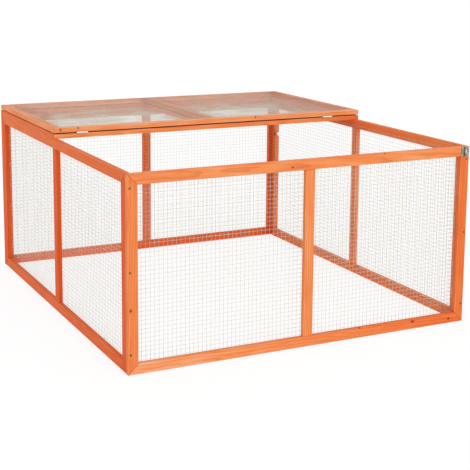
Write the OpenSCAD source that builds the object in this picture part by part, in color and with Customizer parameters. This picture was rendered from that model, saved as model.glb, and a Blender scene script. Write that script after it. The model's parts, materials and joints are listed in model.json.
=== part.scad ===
// Outdoor rabbit run: four mesh-filled timber walls, a fixed roof frame over the
// rear half and a lid of the same make, hinged at the middle and folded back on it.
// Millimetres. +X to the right along the front, +Y to the back, +Z up.
// The origin is on the ground, in the middle of everything as it stands.

/* [Run] */
// Width of the run, along its front
run_w = 1100; // [800:10:1400]
// Depth of the run, from front to back
run_d = 1235; // [900:5:1500]
// Height of the four walls
wall_h = 547; // [400:1:700]

/* [Timber] */
// Width of the batten that every frame is cut from
bar_w = 30; // [26:1:40]
// Thickness of that batten
bar_t = 15; // [13:0.5:20]

/* [Mesh] */
// Thickness of the mesh wire
wire_t = 1; // [0.8:0.1:1.6]
// Gaps along a bay of mesh
gaps_along = 6; // [3:1:9]
// Gaps up a bay of mesh
gaps_up = 6; // [3:1:9]
// Thickness of a sheet of mesh, with its crossings and waves
sheet_t = 2; // [1.6:0.1:2.6]
// Room between a sheet and the frame beside it, and half the room between two sheets
sheet_clear = 0.5; // [0.3:0.1:1]

/* [Staples] */
// Length of a staple's crown
crown_l = 10; // [6:0.5:12]
// Thickness of a staple's wire, into the wood and across
staple_t = 0.6; // [0.5:0.1:1]
// Width of a staple's wire
staple_w = 1; // [0.8:0.1:1.4]
// How far a staple's legs go into the wood
staple_in = 6; // [4:0.5:9]

/* [Hinges] */
// Length of a hinge, along its pin
hinge_w = 36; // [28:1:50]
// Thickness of a hinge leaf
leaf_t = 1.3; // [1:0.1:2]
// How far a leaf reaches over its batten
leaf_reach = 21; // [16:1:24]
// Diameter of the hinge pin
pin_d = 2.5; // [2:0.1:3.5]
// Room round the pin in its knuckles
pin_clear = 0.05; // [0.02:0.01:0.1]
// Knuckles of a hinge, shared by its two leaves
knuckles = 3; // [3:2:7]
// Room between neighbouring knuckles
knuckle_clear = 0.3; // [0.2:0.05:0.5]
// Room between the two leaves when the lid is folded back
leaf_clear = 0.4; // [0.3:0.1:0.8]
// Room between a barrel and the edge of a batten or of the other leaf
barrel_clear = 0.3; // [0.3:0.1:0.6]
// From the left side of the run to the middle of the left hinge
hinge_inset_left = 90; // [60:1:250]
// From the right side of the run to the middle of the right hinge
hinge_inset_right = 128; // [60:1:250]
// Room left under the closed lid
lid_rest = 0.3; // [0.2:0.05:0.6]

/* [Barrel bolt] */
// Width of the bolt's backplate
latch_w = 28; // [26:1:34]
// Height of the bolt's backplate
latch_h = 29; // [27:1:36]
// Thickness of the backplate and of the keeper's plate
plate_t = 1.2; // [1:0.1:1.6]
// From the right side of the run to the middle of the bolt
latch_inset = 15; // [15:1:60]
// From the top of the wall down to the backplate
latch_drop = 0.5; // [0.5:0.5:5]
// Diameter of the sliding bolt
bolt_d = 5; // [4:0.5:5.5]
// How far the bolt slides
bolt_travel = 10; // [8:0.5:12]
// Room between the bolt and its backplate
bolt_lift = 0.3; // [0.3:0.1:0.6]
// Running clearance of the bolt in its guides
bolt_clear = 0.1; // [0.05:0.01:0.1]
// Thickness of metal round the bolt in its guides
guide_wall = 1.3; // [1:0.1:1.6]
// From the middle of the bolt to the end of its knob
knob_reach = 8.4; // [7:0.1:11]
// Diameter of the knob's head
knob_d = 4.8; // [4:0.1:5.4]
// Thickness of the knob's head
knob_head_t = 2.4; // [1.6:0.1:3]

/* [Keeper] */
// Width of the keeper's plate
keeper_w = 24; // [24:1:30]
// Height of the keeper's plate
keeper_h = 12; // [11:0.5:13]
// Height of the keeper's strap
strap_h = 5; // [4.5:0.25:6]
// Thickness of the keeper's strap
strap_t = 1.3; // [1:0.1:1.6]
// Room between the strap and the bolt that enters it
strap_clear = 1.5; // [1:0.1:2]

/* [Screws] */
// Head diameter of the screws that join the frames
frame_head_d = 7; // [6:0.5:8]
// Shank diameter of the screws that join the frames
frame_shank_d = 3.5; // [3:0.25:4]
// Wood left past the point of such a screw
screw_tip_left = 10; // [7:0.5:14]
// From the top of a wall to its upper corner screw
corner_screw_top = 39; // [36:1:80]
// From the ground to the lower corner screw
corner_screw_low = 56; // [45:1:90]
// From the ends of a roof side rail to its screws
roof_screw_inset = 60; // [50:5:120]
// Head diameter of the small screws in the hinges and the bolt
small_head_d = 4.6; // [4:0.2:5]
// Shank diameter of the small screws
small_shank_d = 2.4; // [2:0.1:3]
// Length of a hinge screw
hinge_screw_l = 10; // [8:0.5:11]
// Length of a screw in the bolt and the keeper
plate_screw_l = 6; // [5:0.5:7]
// Room between a screw and its hole
screw_clear = 0.1; // [0.05:0.05:0.2]
// Width of the cross recess in a screw head
recess_w = 0.8; // [0.6:0.1:1]

/* [Hidden] */

stain = [0.86, 0.43, 0.2];
galvanised = [0.75, 0.77, 0.78];
zinc = [0.8, 0.8, 0.78];
brass = [0.72, 0.6, 0.36];
round_fn = 40;
screw_fn = 8;    // screws and their holes are drawn eight-sided
eps = 0.01;      // cuts run this far past a face
cut_over = 1;    // and long ones this far

// Places of the frames
side_l = run_d - 2 * bar_t;
roof_d = run_d / 2;
fold_gap = 2 * leaf_t + leaf_clear;
axis_up = (fold_gap + lid_rest) / 2;
barrel_r = pin_d / 2 + pin_clear + leaf_t;
axis_out = sqrt(pow(barrel_r + barrel_clear, 2) - pow(fold_gap - axis_up, 2));
lid_d = roof_d - 2 * axis_out;
bolt_mid = plate_t + bolt_lift + bolt_d / 2;
latch_out = bolt_mid + knob_reach;
strap_in = bolt_mid - plate_t + bolt_d / 2 + strap_clear;
keeper_out = plate_t + strap_in + strap_t;
keeper_over = max(0, keeper_out - 2 * axis_out);
front_y = latch_out - (run_d + latch_out + keeper_over) / 2;
back_y = front_y + run_d;
seam_y = back_y - roof_d;
roof_top = wall_h + bar_t;
axis_y = seam_y - axis_out;
axis_z = roof_top + axis_up;

// Places of the metalwork
sheet_lap = bar_w - bar_t - sheet_clear;
sheet_mid_lap = min(sheet_lap, bar_w / 2 - sheet_clear);
staple_edge = sheet_mid_lap / 2;    // from the edge of a sheet to its staples
hinge_x = [hinge_inset_left - run_w / 2, run_w / 2 - hinge_inset_right];
knuckle_w = (hinge_w - (knuckles - 1) * knuckle_clear) / knuckles;
knuckle_step = knuckle_w + knuckle_clear;
hinge_screw_x = hinge_w / 4;
hinge_screw_y = leaf_reach * 0.6;
latch_x = run_w / 2 - latch_inset;
latch_mid_z = wall_h - latch_drop - latch_h / 2;
latch_edge = 3.5;    // from the edge of a plate to the middle of its screws
guide_end = 0.6;     // plate left above and below the guides
knob_neck_d = 3.4;
knob_clear = 0.4;    // between the knob's neck and a guide, at each end of the slide
guide_z = (bolt_travel + knob_neck_d) / 2 + knob_clear;
guide_h = latch_h / 2 - guide_end - guide_z;
knob_z = latch_mid_z - bolt_travel / 2;
bolt_tip_drop = 1;   // the drawn bolt stays this far below the top of the wall
bolt_tip_z = wall_h - bolt_tip_drop;
bolt_tail_z = latch_mid_z - latch_h / 2 + guide_end / 2;
bolt_chamfer = 0.8;
strap_low = 2.5;     // from the bottom of the closed lid to the keeper's strap
keeper_edge = 3.2;
corner_screw_x = run_w / 2 - bar_t / 2;
corner_screw_z = [corner_screw_low,
                  (corner_screw_low + wall_h - corner_screw_top) / 2,
                  wall_h - corner_screw_top];
frame_screw_l = bar_t + bar_w - screw_tip_left;
roof_side_y = [seam_y + roof_screw_inset, back_y - roof_screw_inset];
roof_rear_x = [-run_w / 4, run_w / 4];

// ---- Frame parts, flat: X along, Y up the frame, Z from the inner face to the outer ----

// A batten with both ends mitred and its outer edge on Y = 0
module low_bar(len) {
    linear_extrude(bar_t)
        polygon([[0, 0], [len, 0], [len - bar_w, bar_w], [bar_w, bar_w]]);
}

module high_bar(len, height) {
    translate([0, height, 0]) mirror([0, 1, 0]) low_bar(len);
}

module left_bar(height) {
    rotate([0, 0, 90]) mirror([0, 1, 0]) low_bar(height);
}

module right_bar(len, height) {
    translate([len, 0, 0]) mirror([1, 0, 0]) left_bar(height);
}

// A batten that butts between two others
module mid_bar(len, height) {
    translate([(len - bar_w) / 2, bar_w, 0]) cube([bar_w, height - 2 * bar_w, bar_t]);
}

function bay_w(len) = (len - 3 * bar_w) / 2;
function bay_x(len, bay) = bar_w + bay * (bay_w(len) + bar_w);
function sheet_w(len) = bay_w(len) + sheet_lap + sheet_mid_lap;
function sheet_h(height) = height - 2 * bar_w + 2 * sheet_lap;

// A flat grid of wires with its lower left corner at the origin
module grid(w, h, t) {
    gap_w = (w - wire_t) / gaps_along - wire_t;
    gap_h = (h - wire_t) / gaps_up - wire_t;
    linear_extrude(t) difference() {
        square([w, h]);
        for (i = [0 : gaps_along - 1], j = [0 : gaps_up - 1])
            translate([wire_t + i * (gap_w + wire_t), wire_t + j * (gap_h + wire_t)])
                square([gap_w, gap_h]);
    }
}

// Puts a sheet on one bay of a frame, where it laps over the battens
module on_bay(len, bay) {
    translate([bay_x(len, bay) - (bay == 0 ? sheet_lap : sheet_mid_lap), bar_w - sheet_lap, 0])
        children();
}

// The mesh of one bay lies on the inner face of its frame; bay 0 is on the left, bay 1 on the right
module bay_mesh(len, height, bay) {
    on_bay(len, bay) translate([0, 0, -sheet_t]) grid(sheet_w(len), sheet_h(height), sheet_t);
}

// A staple across one wire, with its crown along X and its legs towards +Z
module staple() {
    translate([-crown_l / 2, -staple_w / 2, -sheet_t - staple_t]) {
        cube([crown_l, staple_w, staple_t]);
        for (x = [0, crown_l - staple_t])
            translate([x, 0, 0]) cube([staple_t, staple_w, staple_t + sheet_t + staple_in]);
    }
}

// A staple in the middle of the top and the bottom edge of both sheets of a frame
module rail_staples(len, height) {
    mid_wire = wire_t / 2 + floor(gaps_along / 2) * (sheet_w(len) - wire_t) / gaps_along;
    for (bay = [0, 1], y = [staple_edge, sheet_h(height) - staple_edge])
        on_bay(len, bay) translate([mid_wire, y, 0]) staple();
}

// And in the middle of their side edges
module stile_staples(len, height) {
    mid_wire = wire_t / 2 + floor(gaps_up / 2) * (sheet_h(height) - wire_t) / gaps_up;
    for (bay = [0, 1], x = [staple_edge, sheet_w(len) - staple_edge])
        on_bay(len, bay) translate([x, mid_wire, 0]) rotate([0, 0, 90]) staple();
}

// ---- Where each flat frame stands ----

module on_front() {
    translate([-run_w / 2, front_y + bar_t, 0]) rotate([90, 0, 0]) children();
}

module on_right() {
    translate([run_w / 2 - bar_t, front_y + bar_t, 0]) rotate([90, 0, 90]) children();
}

module on_back() {
    translate([run_w / 2, back_y - bar_t, 0]) rotate([90, 0, 180]) children();
}

module on_left() {
    translate([-run_w / 2 + bar_t, back_y - bar_t, 0]) rotate([90, 0, 270]) children();
}

module on_roof() {
    translate([-run_w / 2, seam_y, wall_h]) children();
}

// Turns the closed lid and what is on it back onto the roof
module folded() {
    translate([0, axis_y, axis_z]) rotate([180, 0, 0])
        translate([0, -axis_y, -axis_z]) children();
}

module on_lid() {
    folded() translate([-run_w / 2, front_y, wall_h + lid_rest]) children();
}

// ---- Screws: head on Z = 0, point down ----

module screw_body(head_d, shank_d, len, room) {
    head_h = (head_d - shank_d) / 2;
    union() {
        translate([0, 0, -head_h])
            cylinder(h = head_h, r1 = shank_d / 2 + room, r2 = head_d / 2 + room, $fn = screw_fn);
        translate([0, 0, -len - room])
            cylinder(h = len + room - head_h + eps, r = shank_d / 2 + room, $fn = screw_fn);
    }
}

module screw(head_d, shank_d, len) {
    difference() {
        screw_body(head_d, shank_d, len, 0);
        for (turn = [0, 90])
            rotate([0, 0, turn]) translate([-head_d / 4, -recess_w / 2, -recess_w])
                cube([head_d / 2, recess_w, recess_w + cut_over]);
    }
}

module frame_screw() {
    screw(frame_head_d, frame_shank_d, frame_screw_l);
}

module frame_screw_hole() {
    screw_body(frame_head_d, frame_shank_d, frame_screw_l, screw_clear);
}

module hinge_screw_hole() {
    screw_body(small_head_d, small_shank_d, hinge_screw_l, screw_clear);
}

module plate_screw_hole() {
    screw_body(small_head_d, small_shank_d, plate_screw_l, screw_clear);
}

// ---- Where the screws go ----

module at_front_corner(side) {
    for (z = corner_screw_z)
        translate([side * corner_screw_x, front_y, z]) rotate([90, 0, 0]) children();
}

module at_back_corner(side) {
    for (z = corner_screw_z)
        translate([side * corner_screw_x, back_y, z]) rotate([-90, 0, 0]) children();
}

module at_roof_side(side) {
    for (y = roof_side_y)
        translate([side * corner_screw_x, y, roof_top]) children();
}

module at_roof_rear() {
    for (x = roof_rear_x)
        translate([x, back_y - bar_t / 2, roof_top]) children();
}

module at_roof_leaf(x) {
    for (side = [-1, 1])
        translate([x + side * hinge_screw_x, seam_y + hinge_screw_y, roof_top + leaf_t]) children();
}

// On the closed lid
module at_lid_leaf(x) {
    for (side = [-1, 1])
        translate([x + side * hinge_screw_x, front_y + lid_d - hinge_screw_y,
                   roof_top + lid_rest + leaf_t])
            children();
}

module at_backplate() {
    for (i = [-1, 1], k = [-1, 1])
        translate([latch_x + i * (latch_w / 2 - latch_edge), front_y - plate_t,
                   latch_mid_z + k * (latch_h / 2 - latch_edge)])
            rotate([90, 0, 0]) children();
}

// On the closed lid
module at_keeper() {
    for (i = [-1, 1])
        translate([latch_x + i * (keeper_w / 2 - keeper_edge), front_y - plate_t, keeper_mid_z()])
            rotate([90, 0, 0]) children();
}

function keeper_mid_z() = wall_h + lid_rest + bar_t / 2;

// ---- Walls ----

module front_bottom_rail() {
    color(stain) on_front() low_bar(run_w);
}

module front_top_rail() {
    color(stain) difference() {
        on_front() high_bar(run_w, wall_h);
        at_backplate() plate_screw_hole();
    }
}

module front_left_stile() {
    color(stain) difference() {
        on_front() left_bar(wall_h);
        at_front_corner(-1) frame_screw_hole();
    }
}

module front_mid_stile() {
    color(stain) on_front() mid_bar(run_w, wall_h);
}

module front_right_stile() {
    color(stain) difference() {
        on_front() right_bar(run_w, wall_h);
        at_front_corner(1) frame_screw_hole();
        at_backplate() plate_screw_hole();
    }
}

module front_left_mesh() {
    color(galvanised) on_front() bay_mesh(run_w, wall_h, 0);
}

module front_right_mesh() {
    color(galvanised) on_front() bay_mesh(run_w, wall_h, 1);
}

module right_bottom_rail() {
    color(stain) on_right() low_bar(side_l);
}

module right_top_rail() {
    color(stain) difference() {
        on_right() high_bar(side_l, wall_h);
        at_roof_side(1) frame_screw_hole();
    }
}

module right_front_stile() {
    color(stain) difference() {
        on_right() left_bar(wall_h);
        at_front_corner(1) frame_screw_hole();
    }
}

module right_mid_stile() {
    color(stain) on_right() mid_bar(side_l, wall_h);
}

module right_rear_stile() {
    color(stain) difference() {
        on_right() right_bar(side_l, wall_h);
        at_back_corner(1) frame_screw_hole();
    }
}

module right_front_mesh() {
    color(galvanised) on_right() bay_mesh(side_l, wall_h, 0);
}

module right_rear_mesh() {
    color(galvanised) on_right() bay_mesh(side_l, wall_h, 1);
}

module back_bottom_rail() {
    color(stain) on_back() low_bar(run_w);
}

module back_top_rail() {
    color(stain) difference() {
        on_back() high_bar(run_w, wall_h);
        at_roof_rear() frame_screw_hole();
    }
}

module back_left_stile() {
    color(stain) difference() {
        on_back() right_bar(run_w, wall_h);
        at_back_corner(-1) frame_screw_hole();
    }
}

module back_mid_stile() {
    color(stain) on_back() mid_bar(run_w, wall_h);
}

module back_right_stile() {
    color(stain) difference() {
        on_back() left_bar(wall_h);
        at_back_corner(1) frame_screw_hole();
    }
}

module back_left_mesh() {
    color(galvanised) on_back() bay_mesh(run_w, wall_h, 1);
}

module back_right_mesh() {
    color(galvanised) on_back() bay_mesh(run_w, wall_h, 0);
}

module left_bottom_rail() {
    color(stain) on_left() low_bar(side_l);
}

module left_top_rail() {
    color(stain) difference() {
        on_left() high_bar(side_l, wall_h);
        at_roof_side(-1) frame_screw_hole();
    }
}

module left_front_stile() {
    color(stain) difference() {
        on_left() right_bar(side_l, wall_h);
        at_front_corner(-1) frame_screw_hole();
    }
}

module left_mid_stile() {
    color(stain) on_left() mid_bar(side_l, wall_h);
}

module left_rear_stile() {
    color(stain) difference() {
        on_left() left_bar(wall_h);
        at_back_corner(-1) frame_screw_hole();
    }
}

module left_front_mesh() {
    color(galvanised) on_left() bay_mesh(side_l, wall_h, 1);
}

module left_rear_mesh() {
    color(galvanised) on_left() bay_mesh(side_l, wall_h, 0);
}

// ---- Fixed roof ----

module roof_front_rail() {
    color(stain) difference() {
        on_roof() low_bar(run_w);
        for (x = hinge_x) at_roof_leaf(x) hinge_screw_hole();
    }
}

module roof_rear_rail() {
    color(stain) difference() {
        on_roof() high_bar(run_w, roof_d);
        at_roof_rear() frame_screw_hole();
    }
}

module roof_left_rail() {
    color(stain) difference() {
        on_roof() left_bar(roof_d);
        at_roof_side(-1) frame_screw_hole();
    }
}

module roof_mid_rail() {
    color(stain) on_roof() mid_bar(run_w, roof_d);
}

module roof_right_rail() {
    color(stain) difference() {
        on_roof() right_bar(run_w, roof_d);
        at_roof_side(1) frame_screw_hole();
    }
}

module roof_left_mesh() {
    color(galvanised) on_roof() bay_mesh(run_w, roof_d, 0);
}

module roof_right_mesh() {
    color(galvanised) on_roof() bay_mesh(run_w, roof_d, 1);
}

// ---- Lid ----

module lid_free_rail() {
    color(stain) difference() {
        on_lid() low_bar(run_w);
        folded() at_keeper() plate_screw_hole();
    }
}

module lid_hinge_rail() {
    color(stain) difference() {
        on_lid() high_bar(run_w, lid_d);
        folded() for (x = hinge_x) at_lid_leaf(x) hinge_screw_hole();
    }
}

module lid_left_rail() {
    color(stain) on_lid() left_bar(lid_d);
}

module lid_mid_rail() {
    color(stain) on_lid() mid_bar(run_w, lid_d);
}

module lid_right_rail() {
    color(stain) difference() {
        on_lid() right_bar(run_w, lid_d);
        folded() at_keeper() plate_screw_hole();
    }
}

module lid_left_mesh() {
    color(galvanised) on_lid() bay_mesh(run_w, lid_d, 0);
}

module lid_right_mesh() {
    color(galvanised) on_lid() bay_mesh(run_w, lid_d, 1);
}

// ---- Hinges ----

// A cylinder along X on the hinge axis, from the hinge's left end at x0
module along_pin(x0, len, r) {
    translate([x0, axis_y, axis_z]) rotate([0, 90, 0]) cylinder(h = len, r = r, $fn = round_fn);
}

// A leaf that lies on a face at face_z and reaches away from the pin towards side
module leaf(x, face_z, side, first) {
    x0 = x - hinge_w / 2;
    reach = axis_out + leaf_reach;
    notch = barrel_r + barrel_clear;
    difference() {
        union() {
            difference() {
                translate([x0, side > 0 ? axis_y : axis_y - reach, face_z])
                    cube([hinge_w, reach, leaf_t]);
                for (i = [1 - first : 2 : knuckles - 1])
                    translate([x0 + i * knuckle_step - knuckle_clear, axis_y - notch, face_z - cut_over])
                        cube([knuckle_w + 2 * knuckle_clear, 2 * notch, leaf_t + 2 * cut_over]);
            }
            for (i = [first : 2 : knuckles - 1])
                along_pin(x0 + i * knuckle_step, knuckle_w, barrel_r);
        }
        along_pin(x0 - cut_over, hinge_w + 2 * cut_over, pin_d / 2 + pin_clear);
    }
}

module roof_leaf(x) {
    color(zinc) difference() {
        leaf(x, roof_top, 1, 0);
        at_roof_leaf(x) hinge_screw_hole();
    }
}

module lid_leaf(x) {
    color(zinc) folded() difference() {
        leaf(x, roof_top + lid_rest, -1, 1);
        at_lid_leaf(x) hinge_screw_hole();
    }
}

module hinge_pin(x) {
    color(zinc) along_pin(x - hinge_w / 2, hinge_w, pin_d / 2);
}

module left_hinge_roof_leaf() {
    roof_leaf(hinge_x[0]);
}

module left_hinge_lid_leaf() {
    lid_leaf(hinge_x[0]);
}

module left_hinge_pin() {
    hinge_pin(hinge_x[0]);
}

module right_hinge_roof_leaf() {
    roof_leaf(hinge_x[1]);
}

module right_hinge_lid_leaf() {
    lid_leaf(hinge_x[1]);
}

module right_hinge_pin() {
    hinge_pin(hinge_x[1]);
}

module hinge_roof_screws() {
    color(zinc) for (x = hinge_x)
        at_roof_leaf(x) screw(small_head_d, small_shank_d, hinge_screw_l);
}

module hinge_lid_screws() {
    color(zinc) folded() for (x = hinge_x)
        at_lid_leaf(x) screw(small_head_d, small_shank_d, hinge_screw_l);
}

// ---- Barrel bolt and keeper ----

// A guide round the bolt, from the backplate outwards, with its lower end at z
module guide(z) {
    r = bolt_d / 2 + bolt_clear + guide_wall;
    translate([latch_x, front_y, z]) {
        translate([-r, -bolt_mid, 0]) cube([2 * r, bolt_mid, guide_h]);
        translate([0, -bolt_mid, 0]) cylinder(h = guide_h, r = r, $fn = round_fn);
    }
}

module bolt_backplate() {
    color(zinc) difference() {
        union() {
            translate([latch_x - latch_w / 2, front_y - plate_t, latch_mid_z - latch_h / 2])
                cube([latch_w, plate_t, latch_h]);
            guide(latch_mid_z + guide_z);
            guide(latch_mid_z - guide_z - guide_h);
        }
        translate([latch_x, front_y - bolt_mid, latch_mid_z - latch_h])
            cylinder(h = 2 * latch_h, r = bolt_d / 2 + bolt_clear, $fn = round_fn);
        at_backplate() plate_screw_hole();
    }
}

module sliding_bolt() {
    color(zinc) translate([latch_x, front_y - bolt_mid, 0]) {
        translate([0, 0, bolt_tail_z])
            cylinder(h = bolt_tip_z - bolt_chamfer - bolt_tail_z, r = bolt_d / 2, $fn = round_fn);
        translate([0, 0, bolt_tip_z - bolt_chamfer])
            cylinder(h = bolt_chamfer, r1 = bolt_d / 2, r2 = bolt_d / 2 - bolt_chamfer, $fn = round_fn);
        translate([0, 0, knob_z]) rotate([90, 0, 0]) {
            cylinder(h = knob_reach - knob_head_t + eps, r = knob_neck_d / 2, $fn = round_fn);
            translate([0, 0, knob_reach - knob_head_t])
                cylinder(h = knob_head_t, r = knob_d / 2, $fn = round_fn);
        }
    }
}

module bolt_screws() {
    color(zinc) at_backplate() screw(small_head_d, small_shank_d, plate_screw_l);
}

module bolt_keeper() {
    inner_w = bolt_d + 2 * strap_clear;
    outer_w = inner_w + 2 * strap_t;
    color(zinc) folded() difference() {
        union() {
            translate([latch_x - keeper_w / 2, front_y - plate_t, keeper_mid_z() - keeper_h / 2])
                cube([keeper_w, plate_t, keeper_h]);
            translate([latch_x - outer_w / 2, front_y - keeper_out, wall_h + lid_rest + strap_low])
                cube([outer_w, keeper_out, strap_h]);
        }
        translate([latch_x - inner_w / 2, front_y - plate_t - strap_in, wall_h])
            cube([inner_w, strap_in, bar_t]);
        at_keeper() plate_screw_hole();
    }
}

module keeper_screws() {
    color(zinc) folded() at_keeper() screw(small_head_d, small_shank_d, plate_screw_l);
}

// ---- Frame screws ----

module front_corner_screws() {
    color(brass) for (side = [-1, 1]) at_front_corner(side) frame_screw();
}

module back_corner_screws() {
    color(brass) for (side = [-1, 1]) at_back_corner(side) frame_screw();
}

module roof_screws() {
    color(brass) {
        for (side = [-1, 1]) at_roof_side(side) frame_screw();
        at_roof_rear() frame_screw();
    }
}

// ---- Staples ----

module run_staples() {
    color(zinc) {
        on_front() rail_staples(run_w, wall_h);
        on_right() rail_staples(side_l, wall_h);
        on_back() rail_staples(run_w, wall_h);
        on_left() rail_staples(side_l, wall_h);
        on_roof() rail_staples(run_w, roof_d);
        on_roof() stile_staples(run_w, roof_d);
    }
}

module lid_staples() {
    color(zinc) on_lid() {
        rail_staples(run_w, lid_d);
        stile_staples(run_w, lid_d);
    }
}

front_bottom_rail();
front_top_rail();
front_left_stile();
front_mid_stile();
front_right_stile();
front_left_mesh();
front_right_mesh();
right_bottom_rail();
right_top_rail();
right_front_stile();
right_mid_stile();
right_rear_stile();
right_front_mesh();
right_rear_mesh();
back_bottom_rail();
back_top_rail();
back_left_stile();
back_mid_stile();
back_right_stile();
back_left_mesh();
back_right_mesh();
left_bottom_rail();
left_top_rail();
left_front_stile();
left_mid_stile();
left_rear_stile();
left_front_mesh();
left_rear_mesh();
roof_front_rail();
roof_rear_rail();
roof_left_rail();
roof_mid_rail();
roof_right_rail();
roof_left_mesh();
roof_right_mesh();
lid_free_rail();
lid_hinge_rail();
lid_left_rail();
lid_mid_rail();
lid_right_rail();
lid_left_mesh();
lid_right_mesh();
left_hinge_roof_leaf();
left_hinge_lid_leaf();
left_hinge_pin();
right_hinge_roof_leaf();
right_hinge_lid_leaf();
right_hinge_pin();
hinge_roof_screws();
hinge_lid_screws();
bolt_backplate();
sliding_bolt();
bolt_screws();
bolt_keeper();
keeper_screws();
front_corner_screws();
back_corner_screws();
roof_screws();
run_staples();
lid_staples();
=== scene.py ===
import json
import math
import random

import bmesh
import bpy
from mathutils import Euler, Matrix, Vector, noise


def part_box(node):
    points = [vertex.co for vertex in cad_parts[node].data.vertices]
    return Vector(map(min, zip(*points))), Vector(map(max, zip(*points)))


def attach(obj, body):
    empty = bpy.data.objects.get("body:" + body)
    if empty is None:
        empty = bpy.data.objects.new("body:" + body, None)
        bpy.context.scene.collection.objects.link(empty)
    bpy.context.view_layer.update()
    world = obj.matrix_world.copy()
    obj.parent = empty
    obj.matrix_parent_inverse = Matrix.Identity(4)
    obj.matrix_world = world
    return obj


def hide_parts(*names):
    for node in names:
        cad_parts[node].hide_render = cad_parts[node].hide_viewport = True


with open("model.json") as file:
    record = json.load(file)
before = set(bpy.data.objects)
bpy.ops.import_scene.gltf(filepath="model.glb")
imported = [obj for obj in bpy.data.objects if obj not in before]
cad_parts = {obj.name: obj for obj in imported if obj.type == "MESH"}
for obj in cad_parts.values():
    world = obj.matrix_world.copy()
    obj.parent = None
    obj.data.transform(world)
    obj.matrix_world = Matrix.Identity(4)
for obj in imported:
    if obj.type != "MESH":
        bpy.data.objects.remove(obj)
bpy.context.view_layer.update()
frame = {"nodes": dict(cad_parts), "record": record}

# Outdoor rabbit run: stained fir frames, welded wire, zinc hinges and a barrel bolt.
# Metres, Z up. Sizes whose names hold Mm are in millimetres and are multiplied by mm.
mm = 0.001
nodes = frame["nodes"]
bodies = frame["record"]["behaviour"]["bodies"]
bodyOf = {name: body for body, names in bodies.items() for name in names}
dice = random.Random(17)


def linear(hexColour):  # sRGB hex to the linear colour that a shader takes
    parts = [int(hexColour[i:i + 2], 16) / 255 for i in (1, 3, 5)]
    return [c / 12.92 if c <= 0.04045 else ((c + 0.055) / 1.055) ** 2.4 for c in parts] + [1]


def addNode(owner, kind, settings=None, links=None):  # one node with its settings and links
    tree = owner.node_tree
    node = tree.nodes.new(kind)
    for key, value in (settings or {}).items():
        if key == "stops":
            ramp = node.color_ramp.elements
            while len(ramp) < len(value):
                ramp.new(1)
            for element, (place, colour) in zip(ramp, value):
                element.position, element.color = place, linear(colour)
        elif isinstance(key, str) and hasattr(node, key):
            setattr(node, key, value)
        else:
            node.inputs[key].default_value = value
    for key, source in (links or {}).items():
        tree.links.new(source, node.inputs[key])
    return node


def emptyMaterial(name):
    material = bpy.data.materials.new(name)
    material.use_nodes = True
    material.node_tree.nodes.clear()
    return material


def addPiece(name, mesh, material, nodeName):  # a piece that stands for a CAD node
    piece = bpy.data.objects.new(name, mesh)
    bpy.context.scene.collection.objects.link(piece)
    mesh.materials.clear()
    mesh.materials.append(material)
    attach(piece, bodyOf[nodeName])
    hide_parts(nodeName)
    return piece


def meshFrom(name, points, faces, smooth=True):
    mesh = bpy.data.meshes.new(name)
    mesh.from_pydata(points, [], faces)
    shape = bmesh.new()
    shape.from_mesh(mesh)
    bmesh.ops.recalc_face_normals(shape, faces=shape.faces)
    for face in shape.faces:
        face.smooth = smooth
    shape.to_mesh(mesh)
    shape.free()
    return mesh


def tubeFaces(rings, sides, start=0):  # the skin and both ends of a row of rings of points
    faces = []
    for ring in range(rings - 1):
        for i in range(sides):
            a, b = start + ring * sides + i, start + ring * sides + (i + 1) % sides
            faces.append((a, b, b + sides, a + sides))
    last = start + (rings - 1) * sides
    faces.append(tuple(range(start, start + sides)))
    faces.append(tuple(range(last, last + sides))[::-1])
    return faces


# Stained fir: planed softwood under a brushed orange stain. The stain lets the grain show,
# soaks darker into the joints and wears paler on the arrises. Painted shade darkens the fold of
# the lid, and a painted highlight and sheen pale the arrises and the lid's inner face.
firLook = {
    "toneStops": [(0.0, "#e1561a"), (0.45, "#ea7436"), (0.75, "#f09256"), (1.0, "#f4b184")],
    # growth rings: slow noise pushes them about, and the dark late wood starts part way through
    "ringMm": 5.0, "driftPerMetre": (5, 30, 30), "driftMm": 16, "driftDetail": 2.0,
    "latewood": "#c24a1c", "latewoodFrom": 0.35, "latewoodAmount": 0.30,
    # noise that is long with the grain: its size along and across, and how fine it goes. The
    # fibres are drawn ten times as coarse as real ones, which are too fine to show
    "streakMm": (210, 6.5), "streakDetail": 3, "streakAmount": 0.58,
    "fibreMm": (60, 1.6), "fibreDetail": 2, "fibreAmount": 0.16,
    "blotchMm": (95, 38), "blotchDetail": 1, "blotchAmount": 0.30, "noiseRoughness": 0.55,
    # knots: the edges of core and rim, outer one first, and the wobble are in knot radii
    "knots": 3, "knotCore": "#6a2a0e", "coreEdge": (1.05, 0.72), "coreAmount": 1.0,
    "knotRim": "#b04a1e", "rimEdge": (2.6, 0.9), "rimAmount": 0.55,
    "wobble": 0.5, "wobbleMm": 6.25, "wobbleDetail": 1.0, "knotBendMm": 8,
    # paler arrises and lid inner face: worn stain with a painted highlight and sheen
    "paleWearAndSheen": "#ffb488", "wearAndSheenFrom": (0.05, 0.5), "wearAndSheenStreak": (0.38, 0.62),
    "wearAndSheenAmount": 0.55,
    "jointDark": "#9c4018", "jointFrom": 0.35, "jointAmount": 0.4,
    # painted shade in the dark fold under the lid
    "foldPaintedShade": "#701c04", "foldShadeAmount": 0.85,
    "roughness": 0.54, "roughSpread": 0.18, "specular": 0.13,
    "bumpMm": 0.16, "bumpStrength": 0.8,
    "fibreHeight": 0.6, "latewoodHeight": 0.35, "knotDepth": 0.5,
}
waveNodeFactor = 20  # the wave node multiplies distances by this


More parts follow.
